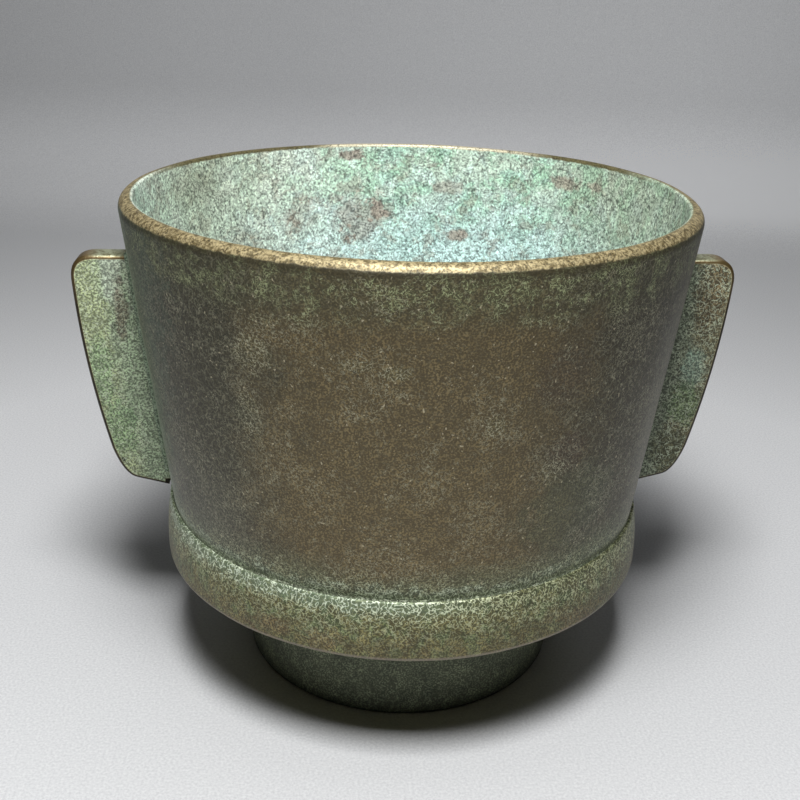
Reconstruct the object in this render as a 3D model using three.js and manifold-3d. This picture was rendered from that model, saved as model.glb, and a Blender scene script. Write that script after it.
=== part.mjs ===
// Brass tea cup with two upright flange ears, in the manner of an old ritual bronze.
// Millimetres, +Z up. The origin is the centre of the foot's resting face.
// The ears lie along X: left_ear on -X, right_ear on +X.
import * as THREE from 'three';
import { mergeVertices } from 'three/addons/utils/BufferGeometryUtils.js';
import Module from 'manifold-3d';

// Heights of the parts of the side, stacked up from the resting face
const footHeight = 16.0;
const undersideRise = 3.1;
const bandHeight = 9.1;
const wallHeight = 47.3;
const bandLowerHeight = footHeight + undersideRise;
const waistHeight = bandLowerHeight + bandHeight;
const cupHeight = waistHeight + wallHeight;

// Tapered wall
const mouthRadius = 42.5;
const waistRadius = 37.2;
const wallThickness = 2.1;
const lipRound = 0.85;
const spigotWall = 1.1;
const spigotLength = 3.7;
const lipHeight = cupHeight - lipRound;

// Shallow base pan, whose side shows as the band under the waist
const rimStep = 0.44;
const bandSwell = 1.2;
const bandWidestRise = 1.9;
const bandRound = 0.8;
const floorThickness = 3.0;
const undersideFlatWidth = 3.0;
const rimRadius = waistRadius + rimStep;
const bandRadius = waistRadius + bandSwell;
const bandWidestHeight = bandLowerHeight + bandWidestRise;

// Foot ring
const footRadius = 25.5;
const footThickness = 2.6;
const footChamfer = 0.4;
const grooveDepth = 1.0;

// Flange ears: the top follows the mouth, and the heel and toe follow the waist
const earThickness = 4.2;
const earProjection = 8.1;
const earTopDrop = 9.5;
const earTopCorner = 3.6;
const earBow = 1.4;
const earHeelProjection = 9.4;
const earHeelRise = 6.2;
const earHeelCornerProjection = 7.9;
const earHeelCornerRise = 1.4;
const earToeProjection = 5.8;
const earToeRise = 0.9;
const earRootDrop = 0.6;
const earEdgeRound = 0.45;
const tenonDepth = 1.0;
const earReach = mouthRadius + earProjection;
const earTopHeight = cupHeight - earTopDrop;

// Clearances and solder
const seatGap = 0.3;
const solderGap = 0.1;
const solderWidth = 1.0;
const solderHeight = 0.7;
const footSolderLeg = 1.3;
const waistSolderLeg = 0.55;

// Fineness of the facets
const turnSegments = 80;
const arcSteps = 4;
const curveSteps = 7;
const bevelSteps = 2;
const mergeTolerance = 1e-4;

const wasm = await Module();
wasm.setup();

// Radius of the wall's outside at a height, on the straight taper from the waist to the lip
function wallOuterAt(height) {
  const taper = (mouthRadius - waistRadius) / (lipHeight - waistHeight);
  return waistRadius + (height - waistHeight) * taper;
}

// Radius of the wall's inside at a height
function wallInnerAt(height) {
  return wallOuterAt(height) - wallThickness;
}

// Radius of the pan's outside: widest low down, and drawn in towards the waist
function bandOuterAt(height) {
  const up = (height - bandWidestHeight) / (waistHeight - bandWidestHeight);
  return bandRadius - (bandRadius - rimRadius) * Math.max(up, 0) ** 2;
}

// Points on a circular arc in the profile plane, both ends included
function arc(centreRadius, centreHeight, size, fromDegrees, toDegrees) {
  const points = [];
  for (let step = 0; step <= arcSteps; step += 1) {
    const degrees = fromDegrees + ((toDegrees - fromDegrees) * step) / arcSteps;
    const angle = THREE.MathUtils.degToRad(degrees);
    const radius = centreRadius + size * Math.cos(angle);
    points.push([radius, centreHeight + size * Math.sin(angle)]);
  }
  return points;
}

// A profile of [radius, height] points turned about the cup's upright axis.
// It runs up the outside and down the inside, so the faces point out.
function turned(profile) {
  const points = profile.map(([radius, height]) => new THREE.Vector2(radius, height));
  const geometry = new THREE.LatheGeometry(points, turnSegments);
  geometry.rotateX(Math.PI / 2);
  return geometry;
}

// A closed profile loop turned into a ring
function turnedRing(profile) {
  return turned([...profile, profile[0]]);
}

// A flat outline in the plane of radius and height, thickened evenly across Y
function plateAcrossY(outline, thickness, edgeRound) {
  const geometry = new THREE.ExtrudeGeometry(outline, {
    depth: thickness - 2 * edgeRound,
    bevelEnabled: edgeRound > 0,
    bevelThickness: edgeRound,
    bevelSize: edgeRound,
    bevelOffset: -edgeRound,
    bevelSegments: bevelSteps,
    curveSegments: curveSteps,
  });
  geometry.translate(0, 0, edgeRound - thickness / 2);
  geometry.rotateX(Math.PI / 2);
  return geometry;
}

// A closed geometry as a solid that can be joined and cut
function solidOf(geometry) {
  const bare = geometry.clone();
  bare.deleteAttribute('normal');
  bare.deleteAttribute('uv');
  const merged = mergeVertices(bare, mergeTolerance);
  const corners = merged.index.array;
  const kept = [];
  for (let first = 0; first < corners.length; first += 3) {
    const [a, b, c] = corners.slice(first, first + 3);
    if (a !== b && b !== c && c !== a) kept.push(a, b, c);
  }
  return new wasm.Manifold(new wasm.Mesh({
    numProp: 3,
    vertProperties: merged.attributes.position.array,
    triVerts: Uint32Array.from(kept),
  }));
}

// A solid back as a geometry
function geometryOf(solid) {
  const mesh = solid.getMesh();
  const geometry = new THREE.BufferGeometry();
  geometry.setAttribute('position', new THREE.BufferAttribute(mesh.vertProperties, 3));
  geometry.setIndex(new THREE.BufferAttribute(mesh.triVerts, 1));
  geometry.computeVertexNormals();
  return geometry;
}

// Solid cone that follows the wall's outside, grown by a margin
function wallCone(margin) {
  const low = waistHeight - cupHeight / 2;
  const high = cupHeight * 2;
  return solidOf(turned([
    [0, low],
    [wallOuterAt(low) + margin, low],
    [wallOuterAt(high) + margin, high],
    [0, high],
  ]));
}

// The space that one ear's tenon takes out of the wall, with its clearance all round
function earSlot() {
  const low = waistHeight - seatGap;
  const high = earTopHeight + seatGap;
  const outline = new THREE.Shape();
  outline.moveTo(wallOuterAt(low) - tenonDepth - seatGap, low);
  outline.lineTo(wallOuterAt(high) + wallThickness, low);
  outline.lineTo(wallOuterAt(high) + wallThickness, high);
  outline.lineTo(wallOuterAt(high) - tenonDepth - seatGap, high);
  outline.closePath();
  return solidOf(plateAcrossY(outline, earThickness + 2 * seatGap, 0));
}

// Tapered wall: lip, straight sides, a shoulder at the waist and a spigot for the pan
function cupWall() {
  const spigotFoot = waistHeight - spigotLength;
  const spigotRadius = wallInnerAt(spigotFoot) + spigotWall;
  const wall = solidOf(turnedRing([
    [waistRadius, waistHeight],
    ...arc(mouthRadius - lipRound, lipHeight, lipRound, 0, 90),
    ...arc(mouthRadius - wallThickness + lipRound, lipHeight, lipRound, 90, 180),
    [wallInnerAt(spigotFoot), spigotFoot],
    [spigotRadius, spigotFoot],
    [spigotRadius, waistHeight],
  ]));
  const slot = earSlot();
  const slots = slot.add(slot.rotate([0, 0, 180]));
  return geometryOf(wall.subtract(slots));
}

// Base pan: floor, groove for the foot, band, rim with a solder chamfer, and socket
function basePan() {
  const spigotFoot = waistHeight - spigotLength;
  const socketRadius = wallInnerAt(spigotFoot) + spigotWall + seatGap;
  const ledgeHeight = spigotFoot - seatGap;
  const grooveHeight = footHeight + grooveDepth;
  const floorHeight = footHeight + floorThickness;
  const floorCorner = ledgeHeight - floorHeight;
  const cornerRadius = wallInnerAt(ledgeHeight) - floorCorner;
  const chamfer = waistSolderLeg + solderGap * Math.SQRT2;
  const band = [];
  for (let step = 0; step <= arcSteps; step += 1) {
    const rise = (waistHeight - chamfer - bandWidestHeight) * (step / arcSteps);
    const height = bandWidestHeight + rise;
    band.push([bandOuterAt(height), height]);
  }
  return turned([
    [0, footHeight],
    [footRadius - footThickness - seatGap, footHeight],
    [footRadius - footThickness - seatGap, grooveHeight],
    [footRadius + seatGap, grooveHeight],
    [footRadius + seatGap, footHeight],
    [footRadius + undersideFlatWidth, footHeight],
    ...arc(bandRadius - bandRound, bandLowerHeight + bandRound, bandRound, -75, 0),
    ...band,
    [rimRadius - chamfer, waistHeight],
    [socketRadius, waistHeight],
    [socketRadius, ledgeHeight],
    ...arc(cornerRadius, ledgeHeight, floorCorner, 0, -90),
    [0, floorHeight],
  ]);
}

// Foot ring, whose top stands in the groove under the pan
function footRing() {
  const inner = footRadius - footThickness;
  const top = footHeight + grooveDepth;
  return turnedRing([
    [footRadius - footChamfer, 0],
    [footRadius, footChamfer],
    [footRadius, top],
    [inner, top],
    [inner, footChamfer],
    [inner + footChamfer, 0],
  ]);
}

// Solder fillet between the pan's underside and the foot ring
function footSolder() {
  const inner = footRadius + solderGap;
  return turnedRing([
    [inner, footHeight - footSolderLeg],
    [inner + footSolderLeg, footHeight],
    [inner, footHeight],
  ]);
}

// Solder run in the chamfer where the pan's rim meets the wall at the waist
function waistSolder() {
  return turnedRing([
    [rimRadius, waistHeight - waistSolderLeg],
    [rimRadius, waistHeight],
    [rimRadius - waistSolderLeg, waistHeight],
  ]);
}

// Flange ear on the +X side: a flat plate with a bowed outer edge and a shallow tenon.
// Its toe laps over the pan's rim and is cut clear of it.
function flangeEar() {
  const rootHeight = waistHeight - earRootDrop;
  const shoulderHeight = earTopHeight - earTopCorner;
  const toe = [waistRadius + earToeProjection, waistHeight + earToeRise];
  const heelCorner = [waistRadius + earHeelCornerProjection, waistHeight + earHeelCornerRise];
  const heel = [waistRadius + earHeelProjection, waistHeight + earHeelRise];
  const bow = [(earReach + heel[0]) / 2 + earBow, (shoulderHeight + heel[1]) / 2];
  const outline = new THREE.Shape();
  outline.moveTo(wallOuterAt(earTopHeight) - tenonDepth, earTopHeight);
  outline.lineTo(wallOuterAt(rootHeight) - tenonDepth, rootHeight);
  outline.lineTo(...toe);
  outline.quadraticCurveTo(...heelCorner, ...heel);
  outline.quadraticCurveTo(...bow, earReach, shoulderHeight);
  outline.quadraticCurveTo(earReach, earTopHeight, earReach - earTopCorner, earTopHeight);
  outline.closePath();
  const plate = solidOf(plateAcrossY(outline, earThickness, earEdgeRound));
  const panClear = solidOf(turned([
    [0, bandWidestHeight],
    [bandRadius + seatGap, bandWidestHeight],
    [rimRadius + seatGap, waistHeight],
    [rimRadius + seatGap, waistHeight + seatGap],
    [0, waistHeight + seatGap],
  ]));
  return geometryOf(plate.subtract(panClear));
}

// Solder run round the root of the +X ear: up one side, over the top and down the other
function earSolder() {
  const innerHalf = earThickness / 2 + solderGap;
  const outerHalf = innerHalf + solderWidth;
  const low = waistHeight + seatGap;
  const innerTop = earTopHeight + solderGap;
  const outerTop = innerTop + solderWidth;
  const outline = new THREE.Shape();
  outline.moveTo(-outerHalf, low);
  outline.lineTo(-innerHalf, low);
  outline.lineTo(-innerHalf, innerTop);
  outline.lineTo(innerHalf, innerTop);
  outline.lineTo(innerHalf, low);
  outline.lineTo(outerHalf, low);
  outline.lineTo(outerHalf, outerTop - solderWidth);
  outline.lineTo(outerHalf - solderWidth, outerTop);
  outline.lineTo(solderWidth - outerHalf, outerTop);
  outline.lineTo(-outerHalf, outerTop - solderWidth);
  outline.closePath();
  const reach = earReach + earThickness;
  const prism = new THREE.ExtrudeGeometry(outline, { depth: reach, bevelEnabled: false });
  prism.rotateX(Math.PI / 2);
  prism.rotateZ(Math.PI / 2);
  const shell = wallCone(solderHeight + solderGap).subtract(wallCone(solderGap));
  return geometryOf(solidOf(prism).intersect(shell));
}

// A finish of aged brass in one colour
function agedBrass(colour, roughness, metalness) {
  return new THREE.MeshStandardMaterial({ color: colour, roughness, metalness });
}

// A named piece, turned about the cup's axis to the side it belongs on
function piece(name, geometry, material, turn = 0) {
  const mesh = new THREE.Mesh(geometry, material);
  mesh.name = name;
  mesh.rotation.z = turn;
  return mesh;
}

const group = new THREE.Group();
group.add(
  piece('cup_wall', cupWall(), agedBrass(0x4f4a3a, 0.6, 0.5)),
  piece('base_pan', basePan(), agedBrass(0x5d5f40, 0.65, 0.4)),
  piece('foot_ring', footRing(), agedBrass(0x35402f, 0.7, 0.4)),
  piece('right_ear', flangeEar(), agedBrass(0x7c8a62, 0.7, 0.3)),
  piece('left_ear', flangeEar(), agedBrass(0x8fa57a, 0.7, 0.3), Math.PI),
  piece('right_ear_solder', earSolder(), agedBrass(0x6f7f6c, 0.7, 0.4)),
  piece('left_ear_solder', earSolder(), agedBrass(0x6f7f6c, 0.7, 0.4), Math.PI),
  piece('waist_solder', waistSolder(), agedBrass(0x93ab88, 0.75, 0.2)),
  piece('foot_solder', footSolder(), agedBrass(0x3c4a38, 0.75, 0.3)),
);

export default group;
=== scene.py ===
# %% [markdown]
# # An aged brass tea cup
#
# The cup has a tapered wall, a shallow base pan whose side swells into a band, a ring foot and
# two flat flange ears. It is brass under a patina: dark brown outside, pale verdigris inside, and
# bare metal where hands and lips have rubbed it. This lesson builds the finished surfaces round a
# frame of plain solids that holds the real sizes.

# %% Load the frame
import math

import bmesh
import bpy
from mathutils import Matrix, Vector, noise


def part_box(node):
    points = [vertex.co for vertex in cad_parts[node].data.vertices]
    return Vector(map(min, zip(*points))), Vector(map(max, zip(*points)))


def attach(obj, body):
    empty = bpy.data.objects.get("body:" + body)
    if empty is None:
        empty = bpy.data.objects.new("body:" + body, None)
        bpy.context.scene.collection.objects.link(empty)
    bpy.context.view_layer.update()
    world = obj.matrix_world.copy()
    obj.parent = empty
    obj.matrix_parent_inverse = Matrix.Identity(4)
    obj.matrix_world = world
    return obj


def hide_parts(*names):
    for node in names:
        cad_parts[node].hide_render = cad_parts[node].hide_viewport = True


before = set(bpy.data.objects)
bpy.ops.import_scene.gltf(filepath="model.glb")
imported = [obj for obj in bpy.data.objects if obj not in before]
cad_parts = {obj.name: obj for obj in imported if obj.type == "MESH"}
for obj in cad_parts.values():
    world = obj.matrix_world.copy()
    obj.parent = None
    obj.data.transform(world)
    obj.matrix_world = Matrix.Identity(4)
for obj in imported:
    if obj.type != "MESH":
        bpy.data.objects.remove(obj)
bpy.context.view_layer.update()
print("frame nodes:", sorted(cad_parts))

# %% [markdown]
# ## Sizes
#
# Blender works in metres. The overall sizes come from the boxes of the frame's own pieces, so the
# finish always fits the construction. Only sizes that a box can't show, such as the thickness of
# the wall or the gap where one piece sits in another, are written out, in millimetres.

# %% Sizes from the frame
MM = 0.001
wall_low, wall_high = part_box("cup_wall")
pan_low, pan_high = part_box("base_pan")
foot_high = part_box("foot_ring")[1]
ear_low, ear_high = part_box("right_ear")

cup_top = wall_high.z
mouth_radius = wall_high.x
waist_height = pan_high.z
spigot_foot = wall_low.z
band_radius = pan_high.x
foot_height = pan_low.z
foot_radius = foot_high.x
foot_top = foot_high.z
ear_reach = ear_high.x
ear_top = ear_high.z
ear_thickness = ear_high.y - ear_low.y

BAND_SWELL = 1.2 * MM  # how far the band stands out past the wall's outside at the waist
RIM_LEDGE = 0.44 * MM  # how far the pan's rim stands out past it
BAND_LOW_EDGE = 3.1 * MM  # from the pan's underside up to the band's lower edge
BAND_BELLY = 1.9 * MM  # from that edge up to the band's widest place
WALL_THICKNESS = 2.1 * MM
FRAME_LIP = 0.85 * MM  # the round on the frame's lip, where its taper ends
SEAT_GAP = 0.3 * MM  # between a piece and the seat that it stands in

waist_radius = band_radius - BAND_SWELL
rim_radius = waist_radius + RIM_LEDGE
band_low = foot_height + BAND_LOW_EDGE
band_widest = band_low + BAND_BELLY
taper = (mouth_radius - waist_radius) / (cup_top - FRAME_LIP - waist_height)
print(f"mouth {mouth_radius * 2000:.1f} mm across, {cup_top * 1000:.1f} mm high")


def wall_outer(height):
    """Radius of the wall's outside at a height."""
    return waist_radius + (height - waist_height) * taper


# %% [markdown]
# ## Camera
#
# A phone held close gives strong perspective: the mouth looks much wider than the foot. The camera
# stands about 19 cm from the cup's middle, looks down on it, and is tilted a little, as a hand
# holds it.

# %% Camera
CAMERA_REACH = 160.8 * MM
CAMERA_HEIGHT = 110.0 * MM
CAMERA_ROUND = math.radians(4.7)
CAMERA_PAN = math.radians(4.41)
CAMERA_DIP = math.radians(22.974)
CAMERA_ROLL = math.radians(1.640)
CAMERA_LENS = 48.84


def add_object(name, data):
    """A new object in the scene, at the origin."""
    made = bpy.data.objects.new(name, data)
    bpy.context.scene.collection.objects.link(made)
    return made


def make_camera():
    """Camera at the photographed angle: placed round the cup, then panned, dipped and rolled."""
    lens = bpy.data.cameras.new("camera")
    lens.lens = CAMERA_LENS
    lens.clip_start = 0.01
    camera = add_object("camera", lens)
    place = Vector((-math.sin(CAMERA_ROUND), -math.cos(CAMERA_ROUND), 0)) * CAMERA_REACH
    place.z = CAMERA_HEIGHT
    pan = Matrix.Rotation(-CAMERA_PAN, 4, "Z")
    dip = Matrix.Rotation(math.pi / 2 - CAMERA_DIP, 4, "X")
    roll = Matrix.Rotation(CAMERA_ROLL, 4, "Z")
    camera.matrix_world = Matrix.Translation(place) @ pan @ dip @ roll
    bpy.context.scene.camera = camera
    return camera


camera = make_camera()
print("camera at", [round(c, 4) for c in camera.matrix_world.translation])

# %% [markdown]
# ## Modelling helpers
#
# Everything round on the cup was turned on a lathe, so it is modelled the same way: a profile of a
# few points, with its round corners as arcs, is spun about the upright axis. After a full spin the
# first and last copies of the profile lie on each other and are merged, and because a spin can
# turn a shape inside out, the normals are worked out again.

# %% Profiles and spinning
TURN_STEPS = 240
ARC_STEPS = 8


def arc(centre_radius, centre_height, size, start, stop, steps=ARC_STEPS):
    """Points on an arc in the profile plane, from start to stop degrees."""
    angles = [math.radians(start + (stop - start) * i / steps) for i in range(steps + 1)]
    return [(centre_radius + size * math.cos(a), centre_height + size * math.sin(a)) for a in angles]


def run(start, stop, steps):
    """Evenly spaced points on a straight stretch, without its two ends."""
    parts = [i / steps for i in range(1, steps)]
    return [(start[0] + (stop[0] - start[0]) * t, start[1] + (stop[1] - start[1]) * t) for t in parts]


def spun(name, profile, closed):
    """A profile of (radius, height) points spun once round the Z axis."""
    bm = bmesh.new()
    corners = [bm.verts.new((radius, 0, height)) for radius, height in profile]
    sides = [bm.edges.new(pair) for pair in zip(corners, corners[1:])]
    if closed:
        sides.append(bm.edges.new((corners[-1], corners[0])))
    bmesh.ops.spin(
        bm, geom=corners + sides, cent=(0, 0, 0), axis=(0, 0, 1), angle=math.tau,
        steps=TURN_STEPS, use_merge=True, use_duplicate=False,
    )
    bmesh.ops.remove_doubles(bm, verts=bm.verts, dist=1e-6)
    bmesh.ops.recalc_face_normals(bm, faces=bm.faces)
    return finished(name, bm)


def finished(name, bm):
    """The bmesh as a smooth-shaded object at the origin."""
    for face in bm.faces:
        face.smooth = True
    mesh = bpy.data.meshes.new(name)
    bm.to_mesh(mesh)
    bm.free()
    print(f"{name}: {len(mesh.polygons)} faces")
    return add_object(name, mesh)


# %% [markdown]
# Nothing cast and hand-finished is perfectly even. After spinning, every point is moved a few
# hundredths of a millimetre by a smooth noise, which makes the reflections wander as they do on
# the real cup.

# %% Unevenness
def make_uneven(piece, amount, size):
    """Moves each point along its own normal by smooth noise. Size is that of one hollow."""
    points = piece.data.vertices
    moves = [point.normal * (noise.noise(point.co / size) * amount) for point in points]
    for point, move in zip(points, moves):
        point.co += move
    print(f"{piece.name}: moved by up to {max(move.length for move in moves) / MM:.2f} mm")


# %% [markdown]
# ## The tapered wall
#
# The wall is about 2 mm thick, with a lip worn round, more outside than inside. Below the waist it
# goes on as a thin spigot that stands in the base pan's socket. The real rim isn't quite level, so
# after the turning the upper half is lifted a little, most at the front.

# %% Wall
WALL_UNEVEN = 0.10 * MM
HOLLOW_SIZE = 14 * MM
RIM_RISE = 0.45 * MM
RIM_TILT = 0.40 * MM / mouth_radius
LIP_OUTSIDE = 1.60 * MM
LIP_INSIDE = 0.50 * MM
SPIGOT_THICKNESS = 1.1 * MM


def make_wall():
    """The profile goes up the outside, over the lip, down the inside and back up the spigot."""
    inner_lip = mouth_radius - WALL_THICKNESS + LIP_INSIDE
    inner_foot = wall_outer(spigot_foot) - WALL_THICKNESS
    spigot_radius = inner_foot + SPIGOT_THICKNESS
    shoulder = (waist_radius, waist_height)
    outer_lip_arc = arc(mouth_radius - LIP_OUTSIDE, cup_top - LIP_OUTSIDE, LIP_OUTSIDE, -6, 90, 12)
    inner_lip_arc = arc(inner_lip, cup_top - LIP_INSIDE, LIP_INSIDE, 90, 186)
    inner_end = (inner_foot, spigot_foot)
    profile = [shoulder]
    profile += run(shoulder, outer_lip_arc[0], 24) + outer_lip_arc
    profile += inner_lip_arc + run(inner_lip_arc[-1], inner_end, 24) + [inner_end]
    profile += [(spigot_radius, spigot_foot), (spigot_radius, waist_height)]
    return spun("wall", profile, closed=True)


def lift_rim(piece):
    """Raises the upper half of the wall a little, most at the front."""
    low = (waist_height + cup_top) / 2
    for point in piece.data.vertices:
        up = max((point.co.z - low) / (cup_top - low), 0)
        point.co.z += up * (RIM_RISE - RIM_TILT * point.co.y)


wall = make_wall()
make_uneven(wall, WALL_UNEVEN, HOLLOW_SIZE)
lift_rim(wall)
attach(wall, "root")
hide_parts("cup_wall")

# %% [markdown]
# ## The base pan
#
# The pan is the floor of the cup. Its side swells a little below the waist and ends in a rounded
# lower edge, and its underside slopes down to the foot.

# %% Base pan
PAN_THICKNESS = 3.0 * MM
FOOT_THICKNESS = 2.6 * MM


def band_outer(height):
    """Radius of the band at a height: widest low down, drawn in towards the waist."""
    up = max((height - band_widest) / (waist_height - band_widest), 0)
    return band_radius - (band_radius - rim_radius) * up ** 2


def make_pan():
    """The profile goes out along the underside, up the band, down the socket and in along the floor."""
    groove_in = foot_radius - FOOT_THICKNESS - SEAT_GAP
    groove_out = foot_radius + SEAT_GAP
    socket = wall_outer(spigot_foot) - WALL_THICKNESS + SPIGOT_THICKNESS + SEAT_GAP
    ledge = spigot_foot - SEAT_GAP
    floor_height = foot_height + PAN_THICKNESS
    floor_corner = ledge - floor_height
    inner = wall_outer(ledge) - WALL_THICKNESS
    band_round = 0.8 * MM
    chamfer = 0.12 * MM
    rows = 14
    rise = (waist_height - chamfer - band_widest) / rows
    flat_edge = (foot_radius + 3.0 * MM, foot_height)
    lower_edge = arc(band_radius - band_round, band_low + band_round, band_round, -75, 0)
    profile = [
        (0, foot_height), (groove_in, foot_height), (groove_in, foot_top),
        (groove_out, foot_top), (groove_out, foot_height), flat_edge,
    ]
    profile += run(flat_edge, lower_edge[0], 8) + lower_edge
    heights = [band_widest + rise * i for i in range(rows + 1)]
    profile += [(band_outer(height), height) for height in heights]
    profile += [(rim_radius - chamfer, waist_height), (socket, waist_height), (socket, ledge)]
    profile += arc(inner - floor_corner, ledge, floor_corner, 0, -90, 12)
    profile += run(profile[-1], (0, floor_height), 10) + [(0, floor_height)]
    return spun("pan", profile, closed=False)


pan = make_pan()
make_uneven(pan, WALL_UNEVEN, HOLLOW_SIZE)
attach(pan, "root")
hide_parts("base_pan")

# %% [markdown]
# ## The foot ring
#
# The foot is a plain ring that stands in a groove under the pan.

# %% Foot ring
def make_foot():
    """A ring with rounded resting edges."""
    inner = foot_radius - FOOT_THICKNESS
    edge = 0.5 * MM
    profile = arc(foot_radius - edge, edge, edge, -90, 0)
    profile += run((foot_radius, edge), (foot_radius, foot_top), 10)
    profile += [(foot_radius, foot_top), (inner, foot_top)]
    profile += arc(inner + edge, edge, edge, 180, 270)
    return spun("foot", profile, closed=True)


foot = make_foot()
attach(foot, "root")
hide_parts("foot_ring")

# %% [markdown]
# ## The flange ears
#
# Each ear is a flat plate about 4 mm thick, with a straight top, a bowed outer edge and rounded
# corners. Its root is a shallow tenon in the wall. The outline is drawn once, as a face, then
# extruded to its thickness, and its rims are bevelled.

# %% Ears
EAR_EDGE = 0.70 * MM
TENON = 1.0 * MM


def curve(start, pull, stop, steps):
    """Points on a quadratic curve, without its start."""
    points = []
    for i in range(1, steps + 1):
        t = i / steps
        mix = [(1 - t) ** 2 * a + 2 * t * (1 - t) * b + t * t * c for a, b, c in zip(start, pull, stop)]
        points.append(tuple(mix))
    return points


def ear_outline():
    """The ear's outline as (radius, height) points, on the side of +X."""
    root_low = waist_height + SEAT_GAP
    corner = 3.6 * MM
    toe = (waist_radius + 5.8 * MM, waist_height + 0.9 * MM)
    heel_corner = (waist_radius + 7.9 * MM, waist_height + 1.4 * MM)
    heel = (waist_radius + 9.4 * MM, waist_height + 6.2 * MM)
    shoulder = (ear_reach, ear_top - corner)
    bow = ((ear_reach + heel[0]) / 2 + 1.4 * MM, (shoulder[1] + heel[1]) / 2)
    outline = [
        (wall_outer(ear_top) - TENON, ear_top), (wall_outer(root_low) - TENON, root_low),
        (rim_radius + 0.35 * MM, root_low), (rim_radius + 0.4 * MM, root_low - 0.75 * MM), toe,
    ]
    outline += curve(toe, heel_corner, heel, 10)
    outline += curve(heel, bow, shoulder, 18)
    outline += curve(shoulder, (ear_reach, ear_top), (ear_reach - corner, ear_top), 10)
    return outline


def make_ear(name, side):
    """A plate from the outline, with bevelled rims. Side is 1 for the right ear and -1 for the left."""
    bm = bmesh.new()
    half = ear_thickness / 2
    corners = [bm.verts.new((radius, -half, height)) for radius, height in ear_outline()]
    plate = bm.faces.new(corners)
    grown = bmesh.ops.extrude_face_region(bm, geom=[plate])
    moved = [item for item in grown["geom"] if isinstance(item, bmesh.types.BMVert)]
    bmesh.ops.translate(bm, vec=(0, ear_thickness, 0), verts=moved)
    rims = [edge for edge in bm.edges if abs(edge.verts[0].co.y - edge.verts[1].co.y) < half]
    bmesh.ops.bevel(
        bm, geom=rims, offset=EAR_EDGE, segments=4, profile=0.5, affect="EDGES", material=-1,
    )
    bmesh.ops.triangulate(bm, faces=[face for face in bm.faces if len(face.verts) > 4])
    bmesh.ops.rotate(bm, matrix=Matrix.Rotation(0 if side > 0 else math.pi, 3, "Z"), verts=bm.verts)
    bmesh.ops.recalc_face_normals(bm, faces=bm.faces)
    ear = finished(name, bm)
    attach(ear, "root")
    return ear


right_ear = make_ear("flange_right", 1)
left_ear = make_ear("flange_left", -1)
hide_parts("right_ear")
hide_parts("left_ear")

# %% [markdown]
# ## Solder runs
#
# Solder wets both pieces that it joins and dries as a small hollow fillet. Round the cup's axis a
# fillet is spun. Along an ear's root it is a thin bead that follows the wall: a curve with a round
# bevel, made into a mesh, whose thickness wanders.

# %% Spun solder
def hollow_fillet(name, foot, top, bury, steps=8):
    """A ring of solder with a hollow front between two (radius, height) points in a corner."""
    front = []
    for i in range(steps + 1):
        angle = math.pi / 2 * i / steps
        radius = foot[0] + (top[0] - foot[0]) * math.sin(angle)
        height = top[1] + (foot[1] - top[1]) * math.cos(angle)
        front.append((radius, height))
    return spun(name, [(top[0] - bury, top[1])] + front[::-1] + [(foot[0] - bury, foot[1])], closed=True)


waist_foot = (rim_radius + 0.03 * MM, waist_height - 0.25 * MM)
waist_top = (wall_outer(waist_height + 0.5 * MM) - 0.05 * MM, waist_height + 0.5 * MM)
waist_bead = hollow_fillet("waist_bead", waist_foot, waist_top, 0.5 * MM)
foot_foot = (foot_radius + 1.3 * MM, foot_height + 0.02 * MM)
foot_top_point = (foot_radius - 0.02 * MM, foot_height - 1.3 * MM)
foot_bead = hollow_fillet("foot_bead", foot_foot, foot_top_point, 0.1 * MM)
make_uneven(waist_bead, 0.05 * MM, 0.6 * MM)
for bead, node in ((waist_bead, "waist_solder"), (foot_bead, "foot_solder")):
    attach(bead, "root")
    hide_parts(node)


# %% Solder along the ears
BEAD_SIZE = 0.45 * MM
BEAD_REACH = 0.60 * MM


def ear_bead(name, side, node):
    """A thin bead of solder up one side of the ear's root, over its top and down the other."""
    across = ear_thickness / 2 + 0.1 * BEAD_SIZE
    low = waist_height + 2.4 * MM
    high = ear_top + 0.4 * BEAD_SIZE
    rise = 36
    turn = 8
    route = [(-across, low + (high - low) * i / rise) for i in range(rise + 1)]
    route += [(-across + 2 * across * i / turn, high) for i in range(1, turn)]
    route += [(across, high - (high - low) * i / rise) for i in range(rise + 1)]
    line = bpy.data.curves.new(name + "_line", "CURVE")
    line.dimensions = "3D"
    line.bevel_depth = BEAD_SIZE
    line.bevel_resolution = 4
    line.use_fill_caps = True
    spline = line.splines.new("POLY")
    spline.points.add(len(route) - 1)
    for point, (y, z) in zip(spline.points, route):
        x = math.sqrt(wall_outer(z) ** 2 - y * y) + BEAD_REACH * abs(y) / across
        point.co = (side * x, side * y, z, 1)
        point.radius = 1 + 0.35 * noise.noise(Vector((x, y, z)) / (2.5 * MM))
    holder = add_object(name + "_line", line)
    shaped = holder.evaluated_get(bpy.context.evaluated_depsgraph_get())
    mesh = bpy.data.meshes.new_from_object(shaped)
    bpy.data.objects.remove(holder)
    mesh.polygons.foreach_set("use_smooth", [True] * len(mesh.polygons))
    bead = add_object(name, mesh)
    print(f"{name}: {len(mesh.polygons)} faces")
    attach(bead, "root")
    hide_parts(node)
    return bead


right_bead = ear_bead("bead_right", 1, "right_ear_solder")
left_bead = ear_bead("bead_left", -1, "left_ear_solder")

# %% [markdown]
# ## Shader maths as Python
#
# A patina is many masks multiplied and mixed. Wrapping a socket in a small class lets the masks be
# written as sums and products, and each operator adds its Math node. Every other kind of node is
# added by one method.

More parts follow.
